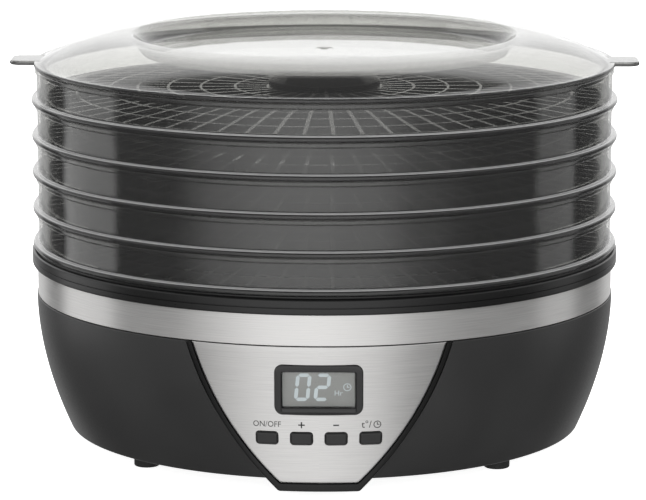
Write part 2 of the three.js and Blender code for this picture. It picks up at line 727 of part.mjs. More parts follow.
// ---- assembly ----
const dehydrator = new THREE.Group();
dehydrator.add(lid());
for (let i = 1; i <= TRAY_COUNT; i += 1) dehydrator.add(tray(i));
dehydrator.add(topDeck(), outletGrille(), steelBand(), lowerHousing(), bottomCover());
dehydrator.add(...coverScrews(), ...feet(), cordGland());
dehydrator.add(panelSurround(), controlPanel(), display(), controlBoard());
dehydrator.add(...Object.entries(BUTTONS).map(([name, x]) => button(name, x)));
dehydrator.add(airDuct(), heaterFrame(), heaterCoil(), ...safetyParts(), fan());
dehydrator.add(motorMount(), motorCore(), motorCoil(), ...motorTurningParts(), ...motorBridges());
dehydrator.add(...powerElectrics());

export default dehydrator;
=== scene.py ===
"""Looks of the round five-tray food dehydrator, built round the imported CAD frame.

Shapes are worked out in millimetres from the frame's boxes and turned into metres when a
piece is made. +Z is up, the control panel faces -Y.
"""
import math

import bmesh
import bpy
from mathutils import Matrix, Vector


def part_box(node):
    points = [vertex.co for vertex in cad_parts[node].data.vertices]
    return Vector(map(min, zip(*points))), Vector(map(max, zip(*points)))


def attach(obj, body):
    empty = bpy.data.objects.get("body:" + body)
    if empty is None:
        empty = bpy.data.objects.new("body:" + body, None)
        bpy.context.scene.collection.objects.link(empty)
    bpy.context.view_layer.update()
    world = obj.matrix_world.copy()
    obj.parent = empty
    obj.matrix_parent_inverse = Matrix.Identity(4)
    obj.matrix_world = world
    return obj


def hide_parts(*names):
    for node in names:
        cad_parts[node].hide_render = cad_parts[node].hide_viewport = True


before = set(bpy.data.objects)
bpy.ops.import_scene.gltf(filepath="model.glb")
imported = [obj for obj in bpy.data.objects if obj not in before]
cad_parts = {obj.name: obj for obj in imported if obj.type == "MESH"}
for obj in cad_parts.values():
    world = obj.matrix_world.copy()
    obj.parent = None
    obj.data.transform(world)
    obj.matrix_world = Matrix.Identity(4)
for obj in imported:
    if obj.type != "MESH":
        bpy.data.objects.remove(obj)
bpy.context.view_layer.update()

MM = 0.001
TAU = 2 * math.pi
RING = 256  # facets round the big rings
GAP = 0.3  # clearance between neighbouring pieces


def low(node):
    """Lowest corner of a CAD node, in millimetres."""
    return Vector(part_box(node)[0]) / MM


def high(node):
    """Highest corner of a CAD node, in millimetres."""
    return Vector(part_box(node)[1]) / MM


# ---- sizes from the frame ----
TRAYS = [f"tray_{i}" for i in range(1, 6)]
BUTTONS = ["button_power", "button_plus", "button_minus", "button_mode"]
FLANGE_RADIUS = high("tray_1").y
SPIGOT_DEPTH = 4.2
TRAY_BOTTOMS = {name: low(name).z + SPIGOT_DEPTH for name in TRAYS}
TRAY_HEIGHT = high("tray_1").z - TRAY_BOTTOMS["tray_1"]
WALL_RADIUS = FLANGE_RADIUS - 3.0
LID_BOTTOM = low("lid").z + SPIGOT_DEPTH
LID_RISE = high("lid").z - LID_BOTTOM
LID_RIM = high("lid").y
HANDLE_REACH = high("lid").x
BODY_BOTTOM = low("lower_housing").z
BODY_TOP_RADIUS = high("lower_housing").y
BAND_BOTTOM = low("steel_band").z
BAND_TOP = high("steel_band").z
BAND_RADIUS = high("steel_band").y
BODY_TOP = BAND_BOTTOM - GAP
NECK_RADIUS = BAND_RADIUS - 1.2
DECK_RADIUS = high("top_deck").y
DECK_TOP = high("top_deck").z
DECK_BOTTOM = BAND_TOP + GAP
COVER_RADIUS = high("bottom_cover").y
COVER_TOP = BODY_BOTTOM + 2.5
FOOT_RADIUS = (high("foot_1").x - low("foot_1").x) / 2
BODY_TUCK = 18.2  # how far the housing's wall curves in towards the feet
BODY_TUCK_POWER = 1.9
WALL = 2.5
TRAY_WALL = 2.0
SPIGOT_RADIUS = WALL_RADIUS - 2.4
FLANGE_THICKNESS = 3.1
LEDGE_RADIUS = 128.0  # inner edge of the ledge that the bottom cover is screwed to
GLAND_HEIGHT = 30.0
GLAND_STEM_RADIUS = 6.0

# control panel: a cone that leans out towards its top
PANEL_BOTTOM = 9.0
PANEL_TOP = BODY_TOP - GAP
PANEL_RADII = (152.2, 161.0)  # at its bottom and its top
PANEL_TILT = math.atan2(PANEL_RADII[1] - PANEL_RADII[0], PANEL_TOP - PANEL_BOTTOM)
PANEL_HALVES = (20.5, 66.3)  # half widths at its bottom and its top
PANEL_SWELL = (54.0, 41.5)  # the point that its side curves towards, as (half width, height)
PANEL_CORNER = 2.4
BOTTOM_GROWTH = 1.65  # how far the bottom moves down when the outline grows by one millimetre
HALVES_GROWTH = (0.25, 1.05)
SWELL_GROWTH = (0.9, -0.5)
FACE_THICKNESS = 1.0
FACE_LIP = 0.25
FACE_RISE = 0.22  # how far the steel face reaches into the gap below the band
SURROUND_PROUD = 1.2
SURROUND_LIP = 0.8
SURROUND_INSIDE = WALL + 2.0  # how far inside the housing's outer face the surround's back lies
SURROUND_BORDER = 2.8
WEB_DEPTH = 4.0  # how far the surround's web reaches behind the panel's surface
WEB_BORDER = 2.0  # how far the frame round the web reaches inside the face's outline
BEYOND = 40.0  # out of the panel's surface, clear of everything
HOLLOW_RADIUS = 90.0  # inside everything that is cut away behind the web
DISPLAY_HEIGHT = 60.1
BEZEL = (45.6, 27.0, 4.2)  # width, height and corner radius, as in WINDOW and BUTTON
WINDOW = (38.5, 19.8, 0.8)
BUTTON_HEIGHT = 33.6
BUTTON = (11.6, 6.9, 1.7)
BUTTON_PLACES = dict(zip(BUTTONS, (-27.0, -9.0, 9.0, 27.0)))
CUT_REACH = (-10, 9)  # how far the openings' cutters reach out of the panel and into it


# ---- mesh helpers ----
def rounded(corners, steps=4):
    """Outline points from corners (x, y) or (x, y, radius); a radius rounds that corner."""
    points = []
    for i, corner in enumerate(corners):
        here = Vector(corner[:2])
        if len(corner) == 2:
            points.append(tuple(here))
            continue
        back = (Vector(corners[i - 1][:2]) - here).normalized()
        ahead = (Vector(corners[(i + 1) % len(corners)][:2]) - here).normalized()
        half = back.angle(ahead) / 2
        centre = here + (back + ahead).normalized() * corner[2] / math.sin(half)
        start = here + back * corner[2] / math.tan(half) - centre
        end = here + ahead * corner[2] / math.tan(half) - centre
        sweep = start.angle_signed(end)
        for k in range(steps + 1):
            turn = -sweep * k / steps
            cos, sin = math.cos(turn), math.sin(turn)
            points.append((centre.x + start.x * cos - start.y * sin,
                           centre.y + start.x * sin + start.y * cos))
    return points


def rounded_rect(width, height, radius, steps=6):
    """A rectangle round the origin with four rounded corners."""
    w, h = width / 2, height / 2
    return rounded([(-w, -h, radius), (w, -h, radius), (w, h, radius), (-w, h, radius)], steps)


def new_object(name, data):
    obj = bpy.data.objects.new(name, data)
    bpy.context.collection.objects.link(obj)
    return obj


def weld(mesh, outward=True):
    """Merges points that coincide and, if asked, turns the faces outward."""
    shape = bmesh.new()
    shape.from_mesh(mesh)
    bmesh.ops.remove_doubles(shape, verts=shape.verts, dist=1e-7)
    if outward:
        bmesh.ops.recalc_face_normals(shape, faces=shape.faces)
    shape.to_mesh(mesh)
    shape.free()


def mesh_object(name, verts, faces, angle=32):
    """A smooth-shaded object from points in millimetres."""
    mesh = bpy.data.meshes.new(name)
    mesh.from_pydata([Vector(v) * MM for v in verts], [], faces)
    weld(mesh)
    return smooth(new_object(name, mesh), angle)


def smooth(obj, angle=32):
    """Smooth shading, kept sharp where faces meet at more than the angle in degrees."""
    mesh = obj.data
    mesh.polygons.foreach_set("use_smooth", [True] * len(mesh.polygons))
    mesh.set_sharp_from_angle(angle=math.radians(angle))
    return obj


def loop_faces(loop_count, count, cyclic=False):
    """Faces between neighbouring loops with the same count of points."""
    faces = []
    for i in range(loop_count if cyclic else loop_count - 1):
        j = (i + 1) % loop_count
        for k in range(count):
            n = (k + 1) % count
            faces.append((i * count + k, i * count + n, j * count + n, j * count + k))
    return faces


def lofted(name, loops, cyclic=False, angle=32):
    """Joins loops that have the same number of points; the ends are closed unless cyclic."""
    count = len(loops[0])
    verts = [point for loop in loops for point in loop]
    faces = loop_faces(len(loops), count, cyclic)
    if not cyclic:
        faces.append(tuple(range(count))[::-1])
        faces.append(tuple((len(loops) - 1) * count + k for k in range(count)))
    return mesh_object(name, verts, faces, angle)


def turned(name, outline, segments=RING, angle=32):
    """Turns a closed outline of (radius, height) pairs round the Z axis."""
    loops = []
    for i in range(segments):
        cos, sin = math.cos(TAU * i / segments), math.sin(TAU * i / segments)
        loops.append([(r * cos, r * sin, z) for r, z in outline])
    return lofted(name, loops, cyclic=True, angle=angle)


def upright_loop(size, depth, grow=0.0):
    """A rounded rectangle in X and Z at a depth along Y."""
    width, height, radius = size
    outline = rounded_rect(width + 2 * grow, height + 2 * grow, max(0.1, radius + grow))
    return [(x, depth, z) for x, z in outline]


def applied(obj):
    """Bakes an object's modifiers into its mesh."""
    graph = bpy.context.evaluated_depsgraph_get()
    mesh = bpy.data.meshes.new_from_object(obj.evaluated_get(graph), depsgraph=graph)
    obj.modifiers.clear()
    old = obj.data
    obj.data = mesh
    bpy.data.meshes.remove(old)
    return obj


def boolean(obj, *tools, operation="DIFFERENCE", angle=32):
    """Cuts with tools, or joins or intersects with them, and removes the tools.
    It works in millimetres, because the solver drops detail that is small in metres."""
    for piece in (obj, *tools):
        piece.data.transform(Matrix.Scale(1 / MM, 4))
    for tool in tools:
        cutter = obj.modifiers.new("boolean", "BOOLEAN")
        cutter.operation = operation
        cutter.solver = "MANIFOLD"
        cutter.object = tool
        applied(obj)
        bpy.data.objects.remove(tool)
    obj.data.transform(Matrix.Scale(MM, 4))
    return smooth(obj, angle)


def placed(obj, matrix):
    """Moves an object's points by a matrix in millimetres, leaving its origin alone."""
    scale = Matrix.Scale(MM, 4)
    obj.data.transform(scale @ matrix @ scale.inverted())
    return obj


def finished(obj, body, material, slot, *replaced):
    """Gives a piece its material and says what it rides on and stands for."""
    weighted = obj.modifiers.new("weighted", "WEIGHTED_NORMAL")
    weighted.keep_sharp = True
    applied(obj)
    indices = [face.material_index for face in obj.data.polygons]
    obj.data.materials.clear()
    for each in material if isinstance(material, list) else [material]:
        obj.data.materials.append(each)
    if isinstance(material, list):
        obj.data.polygons.foreach_set("material_index", indices)
    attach(obj, body)
    if replaced:
        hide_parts(*replaced)
    return obj


# ---- materials ----
def linear(level):
    """A display level from 0 to 255 as scene-linear light."""
    part = level / 255
    return part / 12.92 if part <= 0.04045 else ((part + 0.055) / 1.055) ** 2.4


def grey(level, tint=(1, 1, 1)):
    return tuple(linear(level) * t for t in tint) + (1,)


class Nodes:
    """Short ways to add and link nodes in a material or world."""

    def __init__(self, tree):
        self.tree = tree

    def add(self, kind, **values):
        """A new node. Each value goes to the input of that name, or else to a setting."""
        node = self.tree.nodes.new(kind)
        for key, value in values.items():
            if key in node.inputs:
                node.inputs[key].default_value = value
            else:
                setattr(node, key, value)
        return node

    def link(self, source, target):
        self.tree.links.new(source, target)

    def math(self, operation, first, second=None, clamp=False):
        node = self.add("ShaderNodeMath", operation=operation, use_clamp=clamp)
        for socket, value in zip(node.inputs, (first, second)):
            if value is None:
                continue
            if isinstance(value, (int, float)):
                socket.default_value = value
            else:
                self.link(value, socket)
        return node.outputs[0]

    def ramp(self, source, stops):
        """A ramp over stops of (place, level or colour)."""
        node = self.add("ShaderNodeValToRGB")
        elements = node.color_ramp.elements
        while len(elements) > 1:
            elements.remove(elements[-1])
        for i, (place, value) in enumerate(stops):
            element = elements[0] if i == 0 else elements.new(place)
            element.position = place
            element.color = value if isinstance(value, tuple) else (value, value, value, 1)
        self.link(source, node.inputs["Fac"])
        return node.outputs["Color"]


def new_material(name):
    """A new material with its node helper and its Principled shader."""
    material = bpy.data.materials.new(name)
    material.use_nodes = True
    nodes = Nodes(material.node_tree)
    shader = material.node_tree.nodes["Principled BSDF"]
    return material, nodes, shader


def object_points(nodes):
    return nodes.add("ShaderNodeTexCoord").outputs["Object"]


def noise(nodes, points, scale, detail=3.0, rough=0.55):
    """Smooth noise over points in metres."""
    node = nodes.add("ShaderNodeTexNoise", Scale=scale, Detail=detail, Roughness=rough)
    nodes.link(points, node.inputs["Vector"])
    return node.outputs["Fac"]


def slant_gloss(nodes, straight):
    """How much a clear surface mirrors: little straight on, more at a slant, on both sides."""
    facing = nodes.add("ShaderNodeLayerWeight", Blend=0.5).outputs["Facing"]
    steep = nodes.math("POWER", facing, 5.0)
    return nodes.math("ADD", nodes.math("MULTIPLY", steep, 1 - straight), straight, clamp=True)


def see_through(material, nodes, body, gloss, straight=0.048):
    """Finishes a clear material: its body where seen straight on, mirroring at a slant."""
    material.node_tree.nodes.remove(material.node_tree.nodes["Principled BSDF"])
    mix = nodes.add("ShaderNodeMixShader")
    nodes.link(slant_gloss(nodes, straight), mix.inputs["Fac"])
    nodes.link(body.outputs[0], mix.inputs[1])
    nodes.link(gloss.outputs[0], mix.inputs[2])
    output = next(n for n in material.node_tree.nodes if n.type == "OUTPUT_MATERIAL")
    nodes.link(mix.outputs[0], output.inputs["Surface"])
    return material


def bump(nodes, height, strength, distance_mm, shader):
    """Lets a height pattern tilt a shader's surface."""
    node = nodes.add("ShaderNodeBump", Strength=strength, Distance=distance_mm * MM)
    nodes.link(height, node.inputs["Height"])
    nodes.link(node.outputs["Normal"], shader.inputs["Normal"])


def moulded(name, level, roughness, grain=0.4, tint=(1, 1, 1), scale=900, metallic=0.0,
            spread=0.12):
    """Moulded plastic, rubber or cast metal with a fine grain and slight unevenness."""
    material, nodes, shader = new_material(name)
    points = object_points(nodes)
    fine = noise(nodes, points, scale)
    broad = noise(nodes, points, 14, 2.0)
    dark, light = grey(level * (1 - spread), tint), grey(level * (1 + spread), tint)
    nodes.link(nodes.ramp(broad, [(0.3, dark), (0.7, light)]), shader.inputs["Base Color"])
    rough = nodes.ramp(fine, [(0.3, roughness * 0.9), (0.7, min(1.0, roughness * 1.12))])
    nodes.link(rough, shader.inputs["Roughness"])
    shader.inputs["Metallic"].default_value = metallic
    bump(nodes, fine, grain, 0.05, shader)
    return material


def brushed(name, level, roughness, tint=(1, 1, 1)):
    """Steel brushed round the Z axis: fine streaks that run along the ring."""
    material, nodes, shader = new_material(name)
    split = nodes.add("ShaderNodeSeparateXYZ")
    nodes.link(nodes.add("ShaderNodeTexCoord").outputs["Object"], split.inputs[0])
    angle = nodes.math("ARCTAN2", split.outputs["X"], split.outputs["Y"])
    join = nodes.add("ShaderNodeCombineXYZ")
    nodes.link(nodes.math("MULTIPLY", angle, 1.6), join.inputs["X"])
    nodes.link(nodes.math("MULTIPLY", split.outputs["Z"], 700), join.inputs["Y"])
    streaks = noise(nodes, join.outputs[0], 3.0, 4.0, 0.7)
    dark, light = grey(level * 0.95, tint), grey(min(255, level * 1.04), tint)
    nodes.link(nodes.ramp(streaks, [(0.3, dark), (0.7, light)]), shader.inputs["Base Color"])
    rough = nodes.ramp(streaks, [(0.3, roughness * 0.85), (0.7, roughness * 1.15)])
    nodes.link(rough, shader.inputs["Roughness"])
    shader.inputs["Metallic"].default_value = 1.0
    shader.inputs["Anisotropic"].default_value = 0.85
    shader.inputs["Anisotropic Rotation"].default_value = 0.25
    along = nodes.add("ShaderNodeCombineXYZ")
    nodes.link(nodes.math("MULTIPLY", split.outputs["Y"], -1.0), along.inputs["X"])
    nodes.link(split.outputs["X"], along.inputs["Y"])
    nodes.link(along.outputs[0], shader.inputs["Tangent"])
    bump(nodes, streaks, 0.12, 0.02, shader)
    return material


def smoky(name, tint, haze, haze_level, roughness=0.02, wave=0.25):
    """Smoke-grey clear plastic: tinted see-through, mirror-like at a slant, a little haze."""
    material, nodes = new_material(name)[:2]
    broad = noise(nodes, object_points(nodes), 26, 1.0)
    surface = nodes.add("ShaderNodeBump", Strength=wave, Distance=0.5 * MM)
    nodes.link(broad, surface.inputs["Height"])
    clear = nodes.add("ShaderNodeBsdfTransparent", Color=grey(tint, (1, 1, 0.985)))
    cloud = nodes.add("ShaderNodeBsdfDiffuse", Color=grey(haze_level))
    body = nodes.add("ShaderNodeMixShader")
    body.inputs["Fac"].default_value = haze
    nodes.link(clear.outputs[0], body.inputs[1])
    nodes.link(cloud.outputs[0], body.inputs[2])
    gloss = nodes.add("ShaderNodeBsdfGlossy", Color=(1, 1, 1, 1))
    rough = nodes.ramp(broad, [(0.3, roughness), (0.7, roughness * 2)])
    nodes.link(rough, gloss.inputs["Roughness"])
    nodes.link(surface.outputs["Normal"], gloss.inputs["Normal"])
    return see_through(material, nodes, body, gloss)


SMOKE = smoky("smoky_clear", 222, 0.015, 180, wave=0.9)
# Painted highlight: a lighter haze for the ribs' faces that face up or down.
SMOKE_RIB_HIGHLIGHT = smoky("smoky_rib_painted_highlight", 140, 0.42, 145, 0.05)
# Painted shade: a darker haze for the ribs' sides.
SMOKE_RIB_SHADE = smoky("smoky_rib_painted_shade", 130, 0.3, 90, 0.05)
# Painted highlight: a bright haze for the flange's up-facing faces.
SMOKE_FLANGE_HIGHLIGHT = smoky("smoky_flange_painted_highlight", 150, 0.42, 215, wave=0.1)
# Darker for the flange, spigot and lid rim: partly thick plastic seen edge-on, partly painted shade
# under the flange and rim.
SMOKE_EDGE_AND_SHADE = smoky("smoky_thick_edge_and_painted_shade", 112, 0.08, 100, wave=0.1)
# Painted shade: the chimney is near black, standing in for the shade inside the column of stacked
# tubes.
SMOKE_CHIMNEY_SHADE = smoky("smoky_chimney_painted_shade", 34, 0.25, 24)
SMOKE_LID = smoky("smoky_lid", 231, 0.006, 200)
BLACK = moulded("black_satin", 9, 0.3, 0.25)
CHARCOAL = moulded("charcoal_satin", 32, 0.36, 0.5)
BUTTON_BLACK = moulded("button_black", 26, 0.35, 0.2)
BEZEL_BLACK = moulded("bezel_black", 26, 0.22, 0.1)
STEEL = brushed("brushed_steel", 238, 0.36, (1, 0.99, 0.975))
RUBBER = moulded("foot_rubber", 26, 0.75, 0.8)
ZINC = moulded("zinc_plate", 176, 0.38, 0.3, metallic=1.0)
COPPER = moulded("copper_winding", 170, 0.35, 0.6, (1, 0.42, 0.22), 500, 1.0)
BOARD = moulded("circuit_board", 92, 0.45, 0.3, (0.3, 1, 0.45), 700)
MICA = moulded("mica_sheet", 190, 0.6, 0.5, (1, 0.86, 0.64), 300)
WIRE = moulded("heater_wire", 120, 0.45, 0.4, (1, 0.93, 0.86), 600, 1.0)
TAPE = moulded("coil_tape", 200, 0.55, 0.3, (1, 0.72, 0.2), 300)
TERMINAL = moulded("terminal_plastic", 110, 0.5, 0.3, (0.35, 1, 0.5))
FAN_GREY = moulded("fan_plastic", 120, 0.5, 0.4)
SLEEVE = moulded("component_black", 36, 0.35, 0.2)
LCD = moulded("lcd_back", 114, 0.35, 0.1, (0.97, 1.0, 0.95), 400)
SEGMENT = moulded("lcd_segment", 176, 0.5, 0.05, (0.86, 0.97, 1.0), 400, spread=0.02)
INK = moulded("label_ink", 30, 0.5, 0.1, spread=0.05)


def clear_window(name):
    """A clear, nearly colourless pane with a faintly smeared gloss."""
    material, nodes = new_material(name)[:2]
    clear = nodes.add("ShaderNodeBsdfTransparent", Color=(0.97, 0.97, 0.97, 1))
    gloss = nodes.add("ShaderNodeBsdfGlossy", Color=(1, 1, 1, 1))
    smear = noise(nodes, object_points(nodes), 60, 2.0)
    nodes.link(nodes.ramp(smear, [(0.35, 0.03), (0.7, 0.06)]), gloss.inputs["Roughness"])
    return see_through(material, nodes, clear, gloss, 0.03)


LENS = clear_window("display_window")

# ---- trays ----
RIB_COUNT = 64
RIB_WIDTH = 2.2
RIB_HEIGHT = 4.0
FLOOR_MIDDLE = 7.0
FLOOR_EDGE = 2.9
FLOOR_FLAT_RADIUS = 110.0
FLOOR_EDGE_RADIUS = 156.1
INNER_RIBS_FROM = 86.0  # inside this radius only every second rib runs on
BEAD_PROUD = 1.2
BEAD_BOTTOM = 16.7
CHIMNEY = (31.0, 28.5, 26.0)  # outer, bore and mouth radius
CHIMNEY_SHOULDER = 10.8
CHIMNEY_TOP = 14.8
# inner and outer radius of each ring
RINGS = [(29.6, 32.4), (49, 50.5), (68, 69.5), (86, 87.6), (103, 104.6), (119, 120.6),
         (136.5, 138.1), (153.6, 156.3)]


def floor_top(radius):
    """Height of the floor's top: flat in the middle, then falling to the wall."""
    part = max(0.0, (radius - FLOOR_FLAT_RADIUS) / (FLOOR_EDGE_RADIUS - FLOOR_FLAT_RADIUS))
    return FLOOR_MIDDLE + (FLOOR_EDGE - FLOOR_MIDDLE) * part


def lattice():
    """The ribbed floor: radial ribs crossed by rings, as one closed mesh."""
    radii = sorted(radius for ring in RINGS for radius in ring)
    columns = 3 * RIB_COUNT
    pitch = TAU / RIB_COUNT
    verts = []
    for radius in radii:
        half = math.asin(RIB_WIDTH / 2 / radius)
        top = floor_top(radius)
        for i in range(columns):
            rib, part = divmod(i, 3)
            middle = (rib + 0.5) * pitch - TAU / 4
            angle = middle + (-half, half, pitch / 2)[part]
            x, y = radius * math.cos(angle), radius * math.sin(angle)
            verts += [(x, y, top), (x, y, top - RIB_HEIGHT)]

    def corner(band, column, below):
        return 2 * (band * columns + column % columns) + below

    def is_solid(band, column):
        if band < 0 or band >= len(radii) - 1:
            return False
        rib, part = divmod(column % columns, 3)
        if band % 2 == 0:
            return True
        return part == 0 and (rib % 2 == 0 or radii[band] >= INNER_RIBS_FROM)

    faces = []
    for band in range(len(radii) - 1):
        for i in range(columns):
            if not is_solid(band, i):
                continue
            edges = (((band, i), (band, i + 1), (band - 1, i)),
                     ((band, i + 1), (band + 1, i + 1), (band, i + 1)),
                     ((band + 1, i + 1), (band + 1, i), (band + 1, i)),
                     ((band + 1, i), (band, i), (band, i - 1)))
            for below in (0, 1):
                faces.append(tuple(corner(*edge[0], below) for edge in edges))
            for start, end, neighbour in edges:
                if not is_solid(*neighbour):
                    faces.append((corner(*start, 0), corner(*start, 1),
                                  corner(*end, 1), corner(*end, 0)))
    return mesh_object("lattice", verts, faces, 30)


def tray_shell():
    """The tray's wall with its spigot below, its flange and the bead round its top."""
    inside, wall, bead = WALL_RADIUS - TRAY_WALL, WALL_RADIUS, WALL_RADIUS + BEAD_PROUD
    return turned("tray_shell", rounded([
        (SPIGOT_RADIUS - TRAY_WALL, -SPIGOT_DEPTH, 0.4), (SPIGOT_RADIUS, -SPIGOT_DEPTH, 0.6),
        (SPIGOT_RADIUS, 0, 0.2), (FLANGE_RADIUS, 0, 1.0), (FLANGE_RADIUS, FLANGE_THICKNESS, 1.4),
        (wall, FLANGE_THICKNESS, 0.8), (wall, BEAD_BOTTOM, 0.4), (bead, BEAD_BOTTOM + 0.6, 0.5),
        (bead, TRAY_HEIGHT, 0.9), (inside, TRAY_HEIGHT, 0.6), (inside, FLOOR_EDGE + 0.6, 0.3),
        (SPIGOT_RADIUS - TRAY_WALL, FLOOR_EDGE + 0.3, 0.2),
    ]))


def chimney():
    """The tube in the middle that carries the warm air, narrowing to its mouth."""
    outer, bore, mouth = CHIMNEY
    bottom = FLOOR_MIDDLE - RIB_HEIGHT - 0.3
    return turned("chimney", rounded([
        (bore, bottom), (outer, bottom, 0.3), (outer, CHIMNEY_SHOULDER, 1.0),
        (mouth, CHIMNEY_TOP, 0.5), (mouth - TRAY_WALL, CHIMNEY_TOP, 0.5),
        (bore, CHIMNEY_SHOULDER + 0.4, 1.0),
    ]), 96)


# The rib and flange-top materials carry painted highlight. The rib-side and chimney materials carry
# painted shade. The flange material is darker, partly as painted shade.
TRAY_MATERIALS = {"wall": SMOKE, "rib": SMOKE_RIB_HIGHLIGHT, "flange": SMOKE_EDGE_AND_SHADE, "chimney": SMOKE_CHIMNEY_SHADE,
                  "rib_side_painted_shade": SMOKE_RIB_SHADE, "flange_top_painted_highlight": SMOKE_FLANGE_HIGHLIGHT}


def tray_region(face):
    """The part of a tray that a face belongs to. Ribs get a painted highlight on faces that face up
    or down and painted shade on their sides. The flange's top gets a painted highlight, and the
    chimney gets painted shade. The flange's other faces are darker, partly because thick plastic seen
    edge-on lets less light through and partly as painted shade.
    """
    x, y, z = face.center / MM
    radius = math.hypot(x, y)
    if radius < CHIMNEY[0] + 0.6:
        # Painted shade: the chimney gets the near-black material.
        return "chimney"
    if radius < WALL_RADIUS - 4.5:
        # Painted highlight on rib faces that face up or down, painted shade on the ribs' sides.
        return "rib" if abs(face.normal.z) > 0.5 else "rib_side_painted_shade"
    if (radius > WALL_RADIUS + 0.3 and z < 4) or z < 0:
        # Up-facing flange faces get a painted highlight. The flange's other faces and the spigot get
        # the darker edge material, partly as painted shade.
        return "flange_top_painted_highlight" if face.normal.z > 0.7 else "flange"
    return "wall"


def make_trays():
    floor = boolean(lattice(), chimney(), operation="UNION", angle=30)
    joined = boolean(tray_shell(), floor, operation="UNION", angle=30)
    master = joined.data
    regions = list(TRAY_MATERIALS)
    for face in master.polygons:
        face.material_index = regions.index(tray_region(face))
    bpy.data.objects.remove(joined)
    for name in TRAYS:
        tray = new_object(name + "_moulding", master.copy())
        placed(tray, Matrix.Translation((0, 0, TRAY_BOTTOMS[name])))
        finished(tray, name + "_body", list(TRAY_MATERIALS.values()), "smoky_plastic", name)


make_trays()


# ---- lid ----
LID_THICKNESS = 2.3
CROWN_RADIUS = 106.0  # the lid's highest ring
DISH_RADIUS = 100.0
DISH_TOP = 8.1
DISH_BOTTOM = 5.9
HANDLE_WIDTH = 30.0
HANDLE_THICKNESS = 2.4
HANDLE_EDGE = 0.6  # bevel round the two handle tabs


def lid_slope(radius, drop=0.0):
    """Height of the lid's curved side at a radius, or that far below it."""
    part = (radius - CROWN_RADIUS) / (LID_RIM - 4 - CROWN_RADIUS)
    return LID_RISE - drop - (LID_RISE - LID_THICKNESS) * part ** 1.94


def lid_shell():
    """The dished cover with a small boss in its middle and a spigot below."""
    outside = [(radius, lid_slope(radius))
               for radius in (*range(157, 144, -4), *range(140, 109, -5))]
    inside = [(radius, lid_slope(radius, LID_THICKNESS))
              for radius in (*range(112, 123, 5), *range(128, 147, 6), 151)]
    return turned("lid_moulding", rounded([
        (0, DISH_BOTTOM), (DISH_RADIUS + 1, DISH_BOTTOM, 2.0),
        (DISH_RADIUS + 6.5, lid_slope(110, LID_THICKNESS) - 0.6, 2.5), *inside,
        (SPIGOT_RADIUS - TRAY_WALL, 0.5), (SPIGOT_RADIUS - TRAY_WALL, -SPIGOT_DEPTH, 0.4),
        (SPIGOT_RADIUS, -SPIGOT_DEPTH, 0.6), (SPIGOT_RADIUS, 0, 0.2), (LID_RIM, 0, 0.7),
        (LID_RIM, LID_THICKNESS, 0.9), *outside, (CROWN_RADIUS + 0.5, LID_RISE, 2.0),
        (DISH_RADIUS, DISH_TOP, 3.0), (5.2, DISH_TOP, 0.4), (4.8, DISH_TOP - 0.3, 0.2),
        (2.2, DISH_TOP - 0.3, 0.2), (1.9, DISH_TOP + 0.5, 0.3), (0, DISH_TOP + 0.5),
    ]))


def handle_tabs():
    """Two tabs at the lid's left and right, from one plate with its middle cut out."""
    plate = rounded_rect(2 * HANDLE_REACH, HANDLE_WIDTH, 6, 8)
    levels = ((HANDLE_EDGE, 0), (0, HANDLE_EDGE), (0, HANDLE_THICKNESS - HANDLE_EDGE),
              (HANDLE_EDGE, HANDLE_THICKNESS))
    loops = [[(x * (1 - inset / HANDLE_REACH), y * (1 - inset / (HANDLE_WIDTH / 2)), z)
              for x, y in plate] for inset, z in levels]
    middle = turned("middle", [(0, -5), (LID_RIM - 3, -5), (LID_RIM - 3, 5), (0, 5)])
    return boolean(lofted("tabs", loops), middle)


def make_lid():
    piece = boolean(lid_shell(), handle_tabs(), operation="UNION", angle=30)
    for face in piece.data.polygons:
        x, y, z = face.center / MM
        radius = math.hypot(x, y)
        # The rim's edge and underside, the tabs' sides and undersides, and the spigot get the darker
        # edge material: partly thick plastic seen edge-on, partly painted shade.
        rim = radius > LID_RIM - 3 and (z < 1.6 or abs(face.normal.z) < 0.7)
        face.material_index = 1 if rim or z < 0.2 else 0
    placed(piece, Matrix.Translation((0, 0, LID_BOTTOM)))
    finished(piece, "lid_body", [SMOKE_LID, SMOKE_EDGE_AND_SHADE], "smoky_plastic", "lid")


make_lid()


# ---- base housing ----
def body_radius(height):
    """Radius of the housing's curved wall at a height."""
    down = (BODY_TOP - height) / (BODY_TOP - BODY_BOTTOM)
    return BODY_TOP_RADIUS - BODY_TUCK * down ** BODY_TUCK_POWER


def body_curve(inwards, start, end, steps=24):
    """Points along the housing's wall, or along its inside that far inwards."""
    heights = [start + (end - start) * i / steps for i in range(steps + 1)]
    return [(body_radius(z) - inwards, z) for z in heights]


def panel_radius(height):
    """Radius of the panel's cone at a height."""
    up = (height - PANEL_BOTTOM) / (PANEL_TOP - PANEL_BOTTOM)
    return PANEL_RADII[0] + (PANEL_RADII[1] - PANEL_RADII[0]) * up


def panel_half(grow, steps=24):
    """The panel's right half outline from its bottom edge upwards, as (half width, height).
    Its side is a curve from the narrow bottom, drawn towards the swell, to the wide top."""
    bottom = PANEL_BOTTOM - BOTTOM_GROWTH * grow
    narrow, wide = (half + part * grow for half, part in zip(PANEL_HALVES, HALVES_GROWTH))
    swell_half, swell_height = (at + part * grow for at, part in zip(PANEL_SWELL, SWELL_GROWTH))
    top = PANEL_TOP + (min(grow, GAP) if grow > 0 else FACE_RISE)
    side = []
    for i in range(1, steps + 1):
        t = i / steps
        side.append((narrow * (1 - t) ** 2 + 2 * swell_half * t * (1 - t) + wide * t * t,
                     bottom * (1 - t) ** 2 + 2 * swell_height * t * (1 - t) + top * t * t))
    corner = rounded([(0, bottom), (narrow, bottom, PANEL_CORNER), side[0]])
    return corner[1:-1] + side


